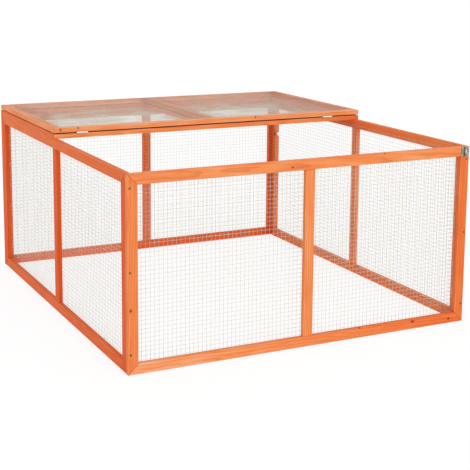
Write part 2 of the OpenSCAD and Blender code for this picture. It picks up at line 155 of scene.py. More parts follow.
def makeFir(look):
    fir = emptyMaterial("stainedPlanedFir")
    grain = addNode(fir, "ShaderNodeAttribute", {"attribute_name": "grain"}).outputs["Vector"]
    tone, arris, joint, fold = (
        addNode(fir, "ShaderNodeAttribute", {"attribute_name": name}).outputs["Fac"]
        for name in ("tone", "arris", "joint", "fold"))
    eased = {"interpolation_type": "SMOOTHSTEP"}
    noises, masks = {}, {}

    for name in ("streak", "fibre", "blotch"):
        longMm, acrossMm = look[name + "Mm"]
        scale = (1 / (longMm * mm), 1 / (acrossMm * mm), 1 / (acrossMm * mm))
        scaled = addNode(fir, "ShaderNodeVectorMath", {"operation": "MULTIPLY", 1: scale},
                         {0: grain})
        noises[name] = addNode(
            fir, "ShaderNodeTexNoise",
            {"Scale": 1.0, "Detail": look[name + "Detail"], "Roughness": look["noiseRoughness"]},
            {"Vector": scaled.outputs[0]}).outputs["Fac"]

    # Knots: each has its own attribute, the offset from its middle in units of its radius
    wobble = addNode(fir, "ShaderNodeTexNoise",
                     {"Scale": 1 / (look["wobbleMm"] * mm), "Detail": look["wobbleDetail"]},
                     {"Vector": grain})
    ragged = addNode(fir, "ShaderNodeMath",
                     {"operation": "MULTIPLY_ADD", 1: look["wobble"], 2: -look["wobble"] / 2},
                     {0: wobble.outputs["Fac"]})
    for index in range(look["knots"]):
        offset = addNode(fir, "ShaderNodeAttribute", {"attribute_name": f"knot{index}"})
        away = addNode(fir, "ShaderNodeVectorMath", {"operation": "LENGTH"},
                       {0: offset.outputs["Vector"]})
        reach = addNode(fir, "ShaderNodeMath", {"operation": "ADD"},
                        {0: away.outputs["Value"], 1: ragged.outputs[0]})
        for name in ("core", "rim"):
            outer, inner = look[name + "Edge"]
            knot = addNode(fir, "ShaderNodeMapRange",
                           {**eased, "From Min": outer, "From Max": inner},
                           {"Value": reach.outputs[0]}).outputs["Result"]
            if name in masks:
                knot = addNode(fir, "ShaderNodeMath", {"operation": "MAXIMUM"},
                               {0: masks[name], 1: knot}).outputs[0]
            masks[name] = knot

    # Growth rings about the pith, pushed about by slow noise and bent round the knots
    slow = addNode(fir, "ShaderNodeVectorMath",
                   {"operation": "MULTIPLY", 1: look["driftPerMetre"]}, {0: grain})
    drift = addNode(fir, "ShaderNodeTexNoise", {"Scale": 1.0, "Detail": look["driftDetail"]},
                    {"Vector": slow.outputs[0]})
    push = addNode(fir, "ShaderNodeVectorMath",
                   {"operation": "MULTIPLY", 1: (0, look["driftMm"] * mm, look["driftMm"] * mm)},
                   {0: drift.outputs["Color"]})
    bend = addNode(fir, "ShaderNodeMath", {"operation": "MULTIPLY", 1: look["knotBendMm"] * mm},
                   {0: masks["rim"]})
    bendWay = addNode(fir, "ShaderNodeCombineXYZ", {}, {"Y": bend.outputs[0]})
    bent = grain
    for move in (push, bendWay):
        bent = addNode(fir, "ShaderNodeVectorMath", {"operation": "ADD"},
                       {0: bent, 1: move.outputs[0]}).outputs[0]
    rings = addNode(fir, "ShaderNodeTexWave",
                    {"wave_type": "RINGS", "rings_direction": "X", "wave_profile": "SAW",
                     "Scale": math.tau / (waveNodeFactor * look["ringMm"] * mm)},
                    {"Vector": bent})

    ranges = {"latewood": (rings.outputs["Fac"], look["latewoodFrom"], 1.0),
              "arris": (arris, *look["wearAndSheenFrom"]),
              "streak": (noises["streak"], *look["wearAndSheenStreak"]),
              "joint": (joint, look["jointFrom"], 1.0)}
    for name, (source, low, high) in ranges.items():
        masks[name] = addNode(fir, "ShaderNodeMapRange",
                              {**eased, "From Min": low, "From Max": high},
                              {"Value": source}).outputs["Result"]
    wearAndSheen = addNode(fir, "ShaderNodeMath", {"operation": "MULTIPLY"},
                   {0: masks["arris"], 1: masks["streak"]}).outputs[0]

    # The batten's own tone, partly painted shade, shifted by the noises; then rings, knots, wear
    # with painted highlight and sheen, stain soaked into the joints, and painted shade in the fold
    for name in ("streak", "blotch", "fibre"):
        amount = look[name + "Amount"]
        shift = addNode(fir, "ShaderNodeMath",
                        {"operation": "MULTIPLY_ADD", 1: amount, 2: -amount / 2},
                        {0: noises[name]})
        tone = addNode(fir, "ShaderNodeMath", {"operation": "ADD"},
                       {0: tone, 1: shift.outputs[0]}).outputs[0]
    colour = addNode(fir, "ShaderNodeValToRGB", {"stops": look["toneStops"]},
                     {"Fac": tone}).outputs["Color"]
    layers = [(masks["latewood"], look["latewoodAmount"], look["latewood"]),
              (masks["rim"], look["rimAmount"], look["knotRim"]),
              (masks["core"], look["coreAmount"], look["knotCore"]),
              (wearAndSheen, look["wearAndSheenAmount"], look["paleWearAndSheen"]),
              (masks["joint"], look["jointAmount"], look["jointDark"]),
              (fold, look["foldShadeAmount"], look["foldPaintedShade"])]
    for mask, amount, over in layers:
        share = addNode(fir, "ShaderNodeMath", {"operation": "MULTIPLY", 1: amount}, {0: mask})
        colour = addNode(fir, "ShaderNodeMix", {"data_type": "RGBA", 7: linear(over)},
                         {0: share.outputs[0], 6: colour}).outputs[2]

    height = addNode(fir, "ShaderNodeMath", {"operation": "MULTIPLY", 1: look["fibreHeight"]},
                     {0: noises["fibre"]})
    for mask, amount in ((masks["latewood"], look["latewoodHeight"]),
                         (masks["core"], -look["knotDepth"])):
        height = addNode(fir, "ShaderNodeMath", {"operation": "MULTIPLY_ADD", 1: amount},
                         {0: mask, 2: height.outputs[0]})
    bump = addNode(fir, "ShaderNodeBump",
                   {"Strength": look["bumpStrength"], "Distance": look["bumpMm"] * mm},
                   {"Height": height.outputs[0]})
    gloss = addNode(fir, "ShaderNodeMath",
                    {"operation": "MULTIPLY_ADD", 1: -look["roughSpread"],
                     2: look["roughness"] + look["roughSpread"] / 2}, {0: noises["fibre"]})
    shader = addNode(fir, "ShaderNodeBsdfPrincipled", {"Specular IOR Level": look["specular"]},
                     {"Base Color": colour, "Roughness": gloss.outputs[0],
                      "Normal": bump.outputs[0]})
    addNode(fir, "ShaderNodeOutputMaterial", {}, {"Surface": shader.outputs[0]})
    return fir


# Galvanised steel: drawn wire, welded, then dipped. The zinc skin is pale and a little dull; its
# warm tint is partly a painted reflection of the orange timbers.
# Zinc plate: pressed steel, bright plated, in faint paler and darker patches. The bolt's plates
# are of the same steel, drawn darker grey as painted dark reflections and shade, so the bright
# bolt stands out.
# Yellow passivated screws: gold brown film over zinc, in darker and paler patches.
metalLooks = {
    "galvanisedDrawnWire": {
        "pale": "#dcd7cc", "dark": "#c4bdaf", "patchMm": 9,
        "roughness": 0.46, "roughSpread": 0.16, "bumpMm": 0.03, "bumpScaleMm": 1.5},
    "brightZincPlatedSteel": {
        "pale": "#dedfdc", "dark": "#c3c5c3", "patchMm": 5,
        "roughness": 0.3, "roughSpread": 0.16, "bumpMm": 0.02, "bumpScaleMm": 0.8},
    # the bolt's plates: zinc drawn darker as painted dark reflections and shade
    "darkReflectionZincPlatedSteel": {
        "pale": "#9d998d", "dark": "#7d786c", "patchMm": 3,
        "roughness": 0.42, "roughSpread": 0.2, "bumpMm": 0.02, "bumpScaleMm": 0.8},
    "yellowPassivatedSteel": {
        "pale": "#9c8560", "dark": "#5c4c34", "patchMm": 1.5,
        "roughness": 0.38, "roughSpread": 0.2, "bumpMm": 0.03, "bumpScaleMm": 0.6},
}
metalPattern = {  # the same for all: where noise turns from the dark to the pale, dull to rough
    "darkUpTo": 0.34, "paleFrom": 0.62, "roughFrom": 0.3, "roughUpTo": 0.7,
    "patchDetail": 3.0, "gritDetail": 2.0, "bumpStrength": 0.6,
}


def makeMetal(name, look):
    metal = emptyMaterial(name)
    place = addNode(metal, "ShaderNodeTexCoord").outputs["Object"]
    patch, grit = (
        addNode(metal, "ShaderNodeTexNoise",
                {"Scale": 1 / (look[size] * mm), "Detail": metalPattern[detail]},
                {"Vector": place}).outputs["Fac"]
        for size, detail in (("patchMm", "patchDetail"), ("bumpScaleMm", "gritDetail")))
    stops = [(metalPattern["darkUpTo"], look["dark"]), (metalPattern["paleFrom"], look["pale"])]
    colour = addNode(metal, "ShaderNodeValToRGB", {"stops": stops},
                     {"Fac": patch}).outputs["Color"]
    spread = look["roughSpread"] / 2
    rough = addNode(metal, "ShaderNodeMapRange",
                    {"From Min": metalPattern["roughFrom"], "From Max": metalPattern["roughUpTo"],
                     "To Min": look["roughness"] - spread, "To Max": look["roughness"] + spread},
                    {"Value": patch}).outputs["Result"]
    bump = addNode(metal, "ShaderNodeBump",
                   {"Strength": metalPattern["bumpStrength"], "Distance": look["bumpMm"] * mm},
                   {"Height": grit})
    shader = addNode(metal, "ShaderNodeBsdfPrincipled", {"Metallic": 1.0},
                     {"Base Color": colour, "Roughness": rough, "Normal": bump.outputs[0]})
    addNode(metal, "ShaderNodeOutputMaterial", {}, {"Surface": shader.outputs[0]})
    return metal


stainedFir = makeFir(firLook)
galvanised, zinc, darkReflectionZinc, passivated = (
    makeMetal(name, look) for name, look in metalLooks.items())
print("materials made")

# Screws: countersunk, cross recessed. Their places are those of the CAD screws.
screwKinds = {
    "frame": {"headMm": 7.0, "shankMm": 3.5, "longMm": 35.0, "sunkMm": 0.35,
              "recessMm": 1.15, "deepMm": 1.95},
    "hinge": {"headMm": 4.6, "shankMm": 2.4, "longMm": 10.0, "sunkMm": 0.05,
              "recessMm": 0.8, "deepMm": 0.9},
    "plate": {"headMm": 4.6, "shankMm": 2.4, "longMm": 6.0, "sunkMm": 0.05,
              "recessMm": 0.8, "deepMm": 0.9},
}
screwForm = {
    "sides": 32, "tipShare": 0.2, "weldMm": 0.01, "softenDegrees": 40,
    # the head's rim: where the cone ends, inwards and down, then its two edges and its bevel
    "coneEndMm": (0.1, 0.32), "rimLowMm": 0.22, "rimHighMm": 0.12, "rimBevelMm": 0.16,
    # the recess: half an arm as a share of the head's width, and how it narrows on its way down
    "armShare": 0.3, "armAboveMm": 0.5, "armTop": 1.06, "armBottom": 0.38, "armTaper": 0.38,
}
screwGroups = {  # node: kind of screw, and the way its heads face at rest
    "front_corner_screws": ("frame", (0, -1, 0)), "back_corner_screws": ("frame", (0, 1, 0)),
    "roof_screws": ("frame", (0, 0, 1)), "hinge_roof_screws": ("hinge", (0, 0, 1)),
    "hinge_lid_screws": ("hinge", (0, 0, -1)), "bolt_screws": ("plate", (0, -1, 0)),
    "keeper_screws": ("plate", (0, 1, 0)),
}


def loosePlaces(node, facing):  # middle of each screw's face in a CAD node that holds several
    shape = bmesh.new()
    shape.from_mesh(node.data)
    bmesh.ops.remove_doubles(shape, verts=shape.verts, dist=screwForm["weldMm"] * mm)
    facing, left, places = Vector(facing), set(shape.verts), []
    while left:
        stack, part = [left.pop()], []
        while stack:
            vertex = stack.pop()
            part.append(vertex.co.copy())
            for edge in vertex.link_edges:
                other = edge.other_vert(vertex)
                if other in left:
                    left.remove(other)
                    stack.append(other)
        low = Vector([min(p[i] for p in part) for i in range(3)])
        high = Vector([max(p[i] for p in part) for i in range(3)])
        middle = (low + high) / 2
        top = max(p.dot(facing) for p in part)
        places.append(middle + facing * (top - middle.dot(facing)))
    shape.free()
    return sorted(places, key=lambda p: tuple(round(c, 5) for c in p))  # to 0.01 mm


def turned(outline, sides):  # a shape turned on Z from (radius, height) pairs
    points = []
    for radius, height in outline:
        for i in range(sides):
            angle = math.tau * i / sides
            points.append((radius * math.cos(angle), radius * math.sin(angle), height))
    return points, tubeFaces(len(outline), sides)


def cut(mesh, cutter):  # takes the cutter's shape out of the mesh
    body = bpy.data.objects.new("cutBody", mesh)
    tool = bpy.data.objects.new("cutTool", cutter)
    for item in (body, tool):
        bpy.context.scene.collection.objects.link(item)
    bite = body.modifiers.new("bite", "BOOLEAN")
    bite.operation, bite.solver, bite.object = "DIFFERENCE", "EXACT", tool
    bpy.context.view_layer.update()
    shown = body.evaluated_get(bpy.context.evaluated_depsgraph_get())
    done = bpy.data.meshes.new_from_object(shown)
    for item in (body, tool):
        bpy.data.objects.remove(item)
    return done


def upTo(facing):  # turns Z to the way that a screw's head faces
    return Vector((0, 0, 1)).rotation_difference(Vector(facing)).to_matrix().to_4x4()


def screwOutline(kind, room=0.0, top=0.0):  # with room around it and a straight top, a pocket's
    head, shank = kind["headMm"] / 2 + room, kind["shankMm"] / 2 + room
    cone = (kind["headMm"] - kind["shankMm"]) / 2
    coneIn, coneDown = screwForm["coneEndMm"]
    outline = [(shank * screwForm["tipShare"], -kind["longMm"]),
               (shank, -kind["longMm"] + 2 * shank), (shank, -cone),
               (head - coneIn, -coneDown), (head, -screwForm["rimLowMm"])]
    if top:
        outline.append((head, top))
    else:
        outline += [(head, -screwForm["rimHighMm"]), (head - screwForm["rimBevelMm"], 0.0)]
    return [(radius * mm, height * mm) for radius, height in outline]


def masterScrew(kind):
    body = meshFrom("screwBody", *turned(screwOutline(kind), screwForm["sides"]))
    half, wide = kind["headMm"] * screwForm["armShare"], kind["recessMm"] / 2
    taper = screwForm["armTaper"]
    ends = ((screwForm["armAboveMm"], screwForm["armTop"]),
            (-kind["deepMm"], screwForm["armBottom"]))
    faces = [(0, 1, 2, 3), (7, 6, 5, 4), (0, 4, 5, 1), (1, 5, 6, 2), (2, 6, 7, 3), (3, 7, 4, 0)]
    for swing in (0, 90):  # each arm is a cut of its own, so that the cutter never meets itself
        turn = Matrix.Rotation(math.radians(swing), 3, "Z")
        points = []
        for height, grow in ends:
            narrow = 1 - taper + taper * grow
            for x, y in ((-1, -1), (1, -1), (1, 1), (-1, 1)):
                points.append(turn @ Vector((x * half * grow, y * wide * narrow, height)) * mm)
        body = cut(body, meshFrom("screwArm", points, faces, False))
    return body


def placeMany(name, master, places, facing, sunk):  # one mesh, with a turned copy at every place
    shape = bmesh.new()
    stand = upTo(facing)
    for place in places:
        spin = Matrix.Rotation(dice.uniform(0, math.tau), 4, "Z")
        copy = master.copy()
        copy.transform(Matrix.Translation(place - Vector(facing) * sunk * mm) @ stand @ spin)
        shape.from_mesh(copy)
        bpy.data.meshes.remove(copy)
    mesh = bpy.data.meshes.new(name)
    shape.to_mesh(mesh)
    shape.free()
    return mesh


def softenEdges(piece, degrees):  # flats stay flat, small rounds shade round
    mesh = piece.data
    mesh.polygons.foreach_set("use_smooth", [True] * len(mesh.polygons))
    mesh.set_sharp_from_angle(angle=math.radians(degrees))
    piece.modifiers.new("evenNormals", "WEIGHTED_NORMAL").keep_sharp = True


masterScrews = {name: masterScrew(kind) for name, kind in screwKinds.items()}
pockets = []  # (place, facing) of every frame screw, for the timbers to be cut
for groupName, (kindName, facing) in screwGroups.items():
    kind = screwKinds[kindName]
    places = loosePlaces(nodes[groupName], facing)
    mesh = placeMany(groupName, masterScrews[kindName], places, facing, kind["sunkMm"])
    isFrame = kindName == "frame"
    piece = addPiece("set_" + groupName, mesh, passivated if isFrame else zinc,
                     groupName)
    softenEdges(piece, screwForm["softenDegrees"])
    if isFrame:
        pockets += [(place, Vector(facing)) for place in places]
print("screws made:", len(pockets), "in the frames")

# Timbers: 30 x 15 mm battens, mitred at the corners; the middle ones are cut square
timber = {
    "arrisMm": 1.3, "arrisSteps": 3, "endChamferMm": 0.25, "softenDegrees": 35,
    "jointMm": 5.0,  # how far the darker stain reaches from a joint
    "probeMm": 2.0, "pocketRoomMm": 0.15, "pocketAboveMm": 2.0,  # where a screw's head goes in
    "pithMm": (24, 70), "lean": 0.03, "startMm": 9000,  # how each is cut from a tree, by chance
    "innerMm": 0.6, "innerSheen": 0.32,  # the lid's inner face, up when it is folded, is drawn paler: painted sheen
    "foldMm": 0.5,
    # the deep tones of the left and back walls, which stand in shade, are partly painted shade;
    # the rest is each batten's own tone
    "tonesWithShade": {  # 0 is deep red orange, 1 is pale; a pair where it changes along the batten
        "front_top_rail": 0.72, "front_left_stile": 0.62, "front_mid_stile": 0.73,
        "front_right_stile": 0.46, "front_bottom_rail": (0.92, 0.42),
        "left_front_stile": 0.08, "left_mid_stile": 0.04, "left_rear_stile": 0.0,
        "left_top_rail": (0.32, 0.46), "left_bottom_rail": 0.26,
        "back_mid_stile": 0.3, "back_left_stile": 0.12, "back_right_stile": 0.05,
        "back_bottom_rail": 0.2,
        "right_top_rail": (0.6, 0.2), "right_mid_stile": 0.55, "right_rear_stile": 0.35,
        "right_bottom_rail": 0.55,
        "lid_left_rail": 0.78, "lid_hinge_rail": 0.79, "lid_mid_rail": 0.88,
        "lid_free_rail": 0.75,
        "roof_front_rail": (0.8, 0.5), "roof_right_rail": 0.15,
    },
    "otherTones": (0.28, 0.6),
    # tones of the lid's inner face, up at rest, where they differ; the pale ones on the hinge and
    # middle rails are painted sheen
    "innerTones": {"lid_hinge_rail": 1.0, "lid_mid_rail": 1.0, "lid_free_rail": 0.5},
    "knots": {  # node: (place in mm, radius in mm)
        "front_top_rail": [((-58.5, -613.4, 527.7), 1.8), ((244.8, -613.4, 545.0), 1.4)],
        "front_bottom_rail": [((364.4, -613.4, 23.3), 3.0), ((175.5, -613.4, 29.6), 1.7),
                              ((498.2, -613.4, 14.1), 2.4)],
        "front_left_stile": [((-541.7, -613.4, 178.4), 2.4)],
        "lid_hinge_rail": [((-529.2, 4.1, 574.3), 1.3), ((-471.9, 4.1, 577.3), 1.1),
                           ((145.0, 4.1, 578.1), 1.2)],
        "right_rear_stile": [((538.0, 583.0, 414.0), 5.0)],
    },
    "knotStretch": (1.5, 1.0, 3.0),  # along, across and through, in radii
    "noKnot": [50, 50, 50],  # as many radii away, so that none shows
    # a bit of edge lost beside a knot: place and reach in mm
    "chips": {"right_rear_stile": ((551.5, 582.0, 414.0), (10.0, 17.0, 8.0))},
    "chipSteps": 3, "chipRough": 0.3, "chipLumps": 1.7,
}


def layBatten(nodeName, frameBox):  # its box and axes, and where the frame's outer edge is
    low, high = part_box(nodeName)
    size = high - low
    thin, across, along = sorted(range(3), key=lambda i: size[i])
    offset = (low[across] + high[across]) / 2 - (frameBox[0][across] + frameBox[1][across]) / 2
    isMid = abs(offset) < mm
    return {"name": nodeName, "low": low, "high": high, "axes": (along, across, thin),
            "isMid": isMid, "edgeIsHigh": offset > 0 and not isMid,
            "sizeMm": [size[i] / mm for i in (along, across, thin)]}


def toRun(batten, u, v, w):  # mm along, across from the outer edge, and through, to a place
    (along, across, thin), low, high = batten["axes"], batten["low"], batten["high"]
    place = Vector((0, 0, 0))
    place[along] = low[along] + u * mm
    place[across] = high[across] - v * mm if batten["edgeIsHigh"] else low[across] + v * mm
    place[thin] = low[thin] + w * mm
    return place


def toBatten(batten, place):  # the other way
    (along, across, thin), low, high = batten["axes"], batten["low"], batten["high"]
    v = high[across] - place[across] if batten["edgeIsHigh"] else place[across] - low[across]
    return (place[along] - low[along]) / mm, v / mm, (place[thin] - low[thin]) / mm


def battenSection(wide, thick):  # across, through; the outer edge is at 0
    r, steps = timber["arrisMm"], timber["arrisSteps"]

    def corner(x, y, start):
        turns = [math.radians(start + 90 * i / steps) for i in range(steps + 1)]
        return [(x + r * math.cos(turn), y + r * math.sin(turn)) for turn in turns]

    return (corner(r, r, 180) + corner(wide - r, r, 270)
            + corner(wide - r, thick - r, 0) + corner(r, thick - r, 90))


def battenMesh(batten):
    length, wide, thick = batten["sizeMm"]
    section = battenSection(wide, thick)
    chamfer, joint = timber["endChamferMm"], timber["jointMm"]
    # the rings of points: at which end, how far back from it, and how far inset
    stations = [(0, 0, chamfer), (0, chamfer, 0), (0, joint, 0),
                (1, joint, 0), (1, chamfer, 0), (1, 0, chamfer)]
    points = []
    for isFar, back, inset in stations:
        for v, w in section:
            v += (wide / 2 - v) * inset / (wide / 2)
            w += (thick / 2 - w) * inset / (thick / 2)
            run = back + (0 if batten["isMid"] else v)
            points.append(toRun(batten, length - run if isFar else run, v, w))
    faces = tubeFaces(len(stations), len(section))
    return meshFrom(batten["name"] + "Timber", points, faces, False)


def cutPockets(mesh, batten):  # for the heads of the frame screws that enter this batten
    low, high = batten["low"], batten["high"]
    for spot, facing in pockets:
        inside = spot - facing * timber["probeMm"] * mm
        if all(low[i] <= inside[i] <= high[i] for i in range(3)):
            outline = screwOutline(screwKinds["frame"], timber["pocketRoomMm"],
                                   timber["pocketAboveMm"])
            cutter = meshFrom("pocket", *turned(outline, screwForm["sides"]), False)
            cutter.transform(Matrix.Translation(spot) @ upTo(facing))
            mesh = cut(mesh, cutter)
    return mesh


def cutChip(mesh, spot, reach):
    lump = bmesh.new()
    bmesh.ops.create_icosphere(lump, subdivisions=timber["chipSteps"], radius=1.0)
    for vertex in lump.verts:
        vertex.co *= 1 + timber["chipRough"] * noise.noise(vertex.co * timber["chipLumps"])
    chip = bpy.data.meshes.new("chip")
    lump.to_mesh(chip)
    lump.free()
    grow = Matrix.Diagonal([*(Vector(reach) * mm), 1])
    chip.transform(Matrix.Translation(Vector(spot) * mm) @ grow)
    return cut(mesh, chip)


def giveWood(mesh, batten):  # the values that the fir's shader reads at every point
    nodeName = batten["name"]
    length, wide, thick = batten["sizeMm"]
    # grain runs along the batten, round a pith that lies outside it and leans a little
    angle, reach = dice.uniform(0, math.tau), dice.uniform(*timber["pithMm"])
    pith = (wide / 2 + reach * math.cos(angle), thick / 2 + reach * math.sin(angle))
    leanAcross, leanThrough = (dice.uniform(-timber["lean"], timber["lean"]) for _ in range(2))
    start = dice.uniform(0, timber["startMm"])
    tone = timber["tonesWithShade"].get(nodeName, dice.uniform(*timber["otherTones"]))
    toneFrom, toneTo = tone if isinstance(tone, tuple) else (tone, tone)
    innerTone = timber["innerTones"].get(nodeName)
    knots = [(toBatten(batten, Vector(spot) * mm), radius)
             for spot, radius in timber["knots"].get(nodeName, [])]
    isLid = nodeName.startswith("lid_")

    values = {"grain": [], "tone": [], "arris": [], "joint": [], "fold": []}
    values.update({f"knot{i}": [] for i in range(firLook["knots"])})
    for vertex in mesh.vertices:
        u, v, w = toBatten(batten, vertex.co)
        values["grain"] += [(u + start) * mm, (v - pith[0] + leanAcross * u) * mm,
                            (w - pith[1] + leanThrough * u) * mm]
        # the lid's inner face, up at rest, gets painted sheen: its own tones and some of the pale
        # arris colour
        isInner = isLid and w > thick - timber["innerMm"]
        values["tone"].append(innerTone if isInner and innerTone
                              else toneFrom + (toneTo - toneFrom) * u / length)
        fromEdge = max(min(v, wide - v), 0) + max(min(w, thick - w), 0)
        values["arris"].append(max(timber["innerSheen"] if isInner else 0,
                                   1 - fromEdge / timber["arrisMm"]))
        # these two rails face each other in the dark gap under the folded lid; painted shade
        # darkens their facing halves
        inFold = {"roof_front_rail": w, "lid_hinge_rail": thick - w}.get(nodeName, 0)
        values["fold"].append(1 if inFold > thick - timber["foldMm"] and v < wide / 2 else 0)
        run = 0 if batten["isMid"] else v
        values["joint"].append(max(0, 1 - (min(u, length - u) - run) / timber["jointMm"]))
        for i in range(firLook["knots"]):
            if i < len(knots):
                middle, radius = knots[i]
                values[f"knot{i}"] += [
                    (here - there) / (stretch * radius)
                    for here, there, stretch in zip((u, v, w), middle, timber["knotStretch"])]
            else:
                values[f"knot{i}"] += timber["noKnot"]
    for name, flat in values.items():
        isVector = name == "grain" or name.startswith("knot")
        layer = mesh.attributes.new(name, "FLOAT_VECTOR" if isVector else "FLOAT", "POINT")
        layer.data.foreach_set("vector" if isVector else "value", flat)


def makeBatten(nodeName, frameBox):
    batten = layBatten(nodeName, frameBox)
    mesh = cutPockets(battenMesh(batten), batten)
    if nodeName in timber["chips"]:
        mesh = cutChip(mesh, *timber["chips"][nodeName])
    giveWood(mesh, batten)
    piece = addPiece(nodeName + "_timber", mesh, stainedFir, nodeName)
    softenEdges(piece, timber["softenDegrees"])


families, frameBoxes = {}, {}  # the battens of each frame, and the box around them
for nodeName in sorted(nodes):
    if nodeName.endswith(("_rail", "_stile")):
        families.setdefault(nodeName.split("_")[0], []).append(nodeName)
for family, names in families.items():
    boxes = [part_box(name) for name in names]
    frameBoxes[family] = (Vector([min(low[i] for low, high in boxes) for i in range(3)]),
                          Vector([max(high[i] for low, high in boxes) for i in range(3)]))
    for nodeName in names:
        makeBatten(nodeName, frameBoxes[family])
print("timbers made:", sum(len(names) for names in families.values()))

# Welded wire: half inch mesh, two layers of straight wires pressed together at every crossing.
# Each sheet lies on the inner face of its frame. Upright sheets wave a little, flat ones sag more.
wireNet = {
    "pitchMm": (12.85, 12.35), "wireMm": 0.74, "layerMm": 0.64, "sides": 6, "rings": 8,
    "edgeMm": 2.6, "waverMm": 0.35, "waverLongMm": 90, "bulgeMm": 1.76, "bulgeLongMm": 120,
    "sagMm": 3.6, "sagEven": 0.6, "sagWave": 0.6,
    # where the first wire falls in the room left over, from one sheet to the next
    "firstShare": 0.3, "firstSpread": 0.4, "firstStep": 0.37,
    # steps through the noise, so that no two sheets or wires bend alike
    "sheetBulgeStep": 3.7, "sheetWaverStep": 5.1, "wireWaverStep": 7.3,
}


def makeNet(nodeName, seed):
    low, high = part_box(nodeName)
    size = high - low
    through = min(range(3), key=lambda i: size[i])
    plane = [i for i in range(3) if i != through]  # X or Y first, then Z or Y
    isFlat = through == 2
    middle = (low[through] + high[through]) / 2
    radius, rings, sides = wireNet["wireMm"] / 2 * mm, wireNet["rings"], wireNet["sides"]
    margin, waverLong = wireNet["edgeMm"] * mm, wireNet["waverLongMm"] * mm
    points, faces, lines = [], [], []

    def bulge(a, b):  # how far the sheet stands out of its plane, a and b from 0 to 1 over it
        fade = math.sin(math.pi * a) * math.sin(math.pi * b)
        place = Vector((a * size[plane[0]], b * size[plane[1]], 0)) / (wireNet["bulgeLongMm"] * mm)
        wave = noise.noise(Vector((place.x, place.y, seed * wireNet["sheetBulgeStep"])))
        if isFlat:
            sag = wireNet["sagEven"] + wireNet["sagWave"] * wave
            return -wireNet["sagMm"] * mm * math.sqrt(fade) * sag
        return wireNet["bulgeMm"] * mm * fade * wave

    chance = (seed * wireNet["firstStep"]) % 1
    firstShare = wireNet["firstShare"] + wireNet["firstSpread"] * chance
    for layer, (along, across) in enumerate(((0, 1), (1, 0))):
        pitch = wireNet["pitchMm"][across] * mm
        span = size[plane[across]] - 2 * margin
        count = int(span / pitch)
        first = margin + (span - count * pitch) * firstShare
        side = (layer - 0.5) * wireNet["layerMm"] * mm
        lines.append([low[plane[across]] + first + wire * pitch for wire in range(count + 1)])
        for wire in range(count + 1):
            start = len(points)
            for ring in range(rings):
                t = ring / (rings - 1)
                spot = Vector((t * size[plane[along]] / waverLong,
                               wire * wireNet["wireWaverStep"],
                               seed * wireNet["sheetWaverStep"] + layer))
                c = first + wire * pitch + wireNet["waverMm"] * mm * noise.noise(spot)
                share = c / size[plane[across]]
                base = Vector((0, 0, 0))
                base[plane[along]] = low[plane[along]] + t * size[plane[along]]
                base[plane[across]] = low[plane[across]] + c
                base[through] = middle + side + bulge(*((t, share) if along == 0 else (share, t)))
                for i in range(sides):
                    turn = math.tau * (i + 0.5) / sides
                    point = base.copy()
                    point[plane[across]] += radius * math.cos(turn)
                    point[through] += radius * math.sin(turn)
                    points.append(point)
            faces += tubeFaces(rings, sides, start)
    mesh = meshFrom(nodeName + "Wires", points, faces)
    addPiece(nodeName + "_wires", mesh, galvanised, nodeName)
    return low, high, plane, lines[1], lines[0]  # the places of the upright and the level wires


nets = [name for name in sorted(nodes) if name.endswith("_mesh")]
sheets = {nodeName: makeNet(nodeName, seed) for seed, nodeName in enumerate(nets, 1)}
print("nets made:", len(nets))

# Staples: one over every sixth wire, with its crown on the wire and its legs in the batten
staple = {
    "crownMm": 10.0, "wireMm": 0.6, "deepMm": 6.0, "edgeMm": 7.25,
    "bendMm": 0.9, "bendDegrees": (30, 60, 90), "sides": 6, "flatten": 1.5,
    # shot in by hand: how far each crown stands off the wood, and its turn, vary a little
    "riseMm": 2.35, "riseSpreadMm": (-0.1, 0.15), "swingDegrees": 7,
    "everyWires": 6, "firstUpright": 2, "firstLevel": 4,
}


def stapleMesh(rise):  # crown along X, legs down, the wood's face at 0
    radius, bend, sides = staple["wireMm"] / 2, staple["bendMm"], staple["sides"]
    half, sideways = staple["crownMm"] / 2 - radius, Vector((0, 1, 0))
    bendTop = rise - radius - bend
    side = [(half, -staple["deepMm"]), (half, bendTop)]
    for turn in (math.radians(degrees) for degrees in staple["bendDegrees"]):
        side.append((half - bend + bend * math.cos(turn), bendTop + bend * math.sin(turn)))
    path = side + [(-x, z) for x, z in side[::-1]]
    points = []
    for index, (x, z) in enumerate(path):
        before, after = path[max(index - 1, 0)], path[min(index + 1, len(path) - 1)]
        way = Vector((after[0] - before[0], 0, after[1] - before[1])).normalized()
        out = sideways.cross(way)
        for i in range(sides):
            turn = math.tau * (i + 0.5) / sides
            flat = sideways * radius * math.sin(turn) * staple["flatten"]
            points.append((Vector((x, 0, z)) + out * radius * math.cos(turn) + flat) * mm)
    return meshFrom("stapleWire", points, tubeFaces(len(path), sides))


def staplePlaces(name):  # where a sheet's staples go: in its plane, and the turn of the crown
    low, high, (first, second), uprights, levels = sheets[name]
    edge, every = staple["edgeMm"] * mm, staple["everyWires"]
    places = [((a, b), 0) for a in uprights[staple["firstUpright"]::every]
              for b in (low[second] + edge, high[second] - edge)]
    places += [((a, b), 90) for b in levels[staple["firstLevel"]::every]
               for a in (low[first] + edge, high[first] - edge)]
    return places


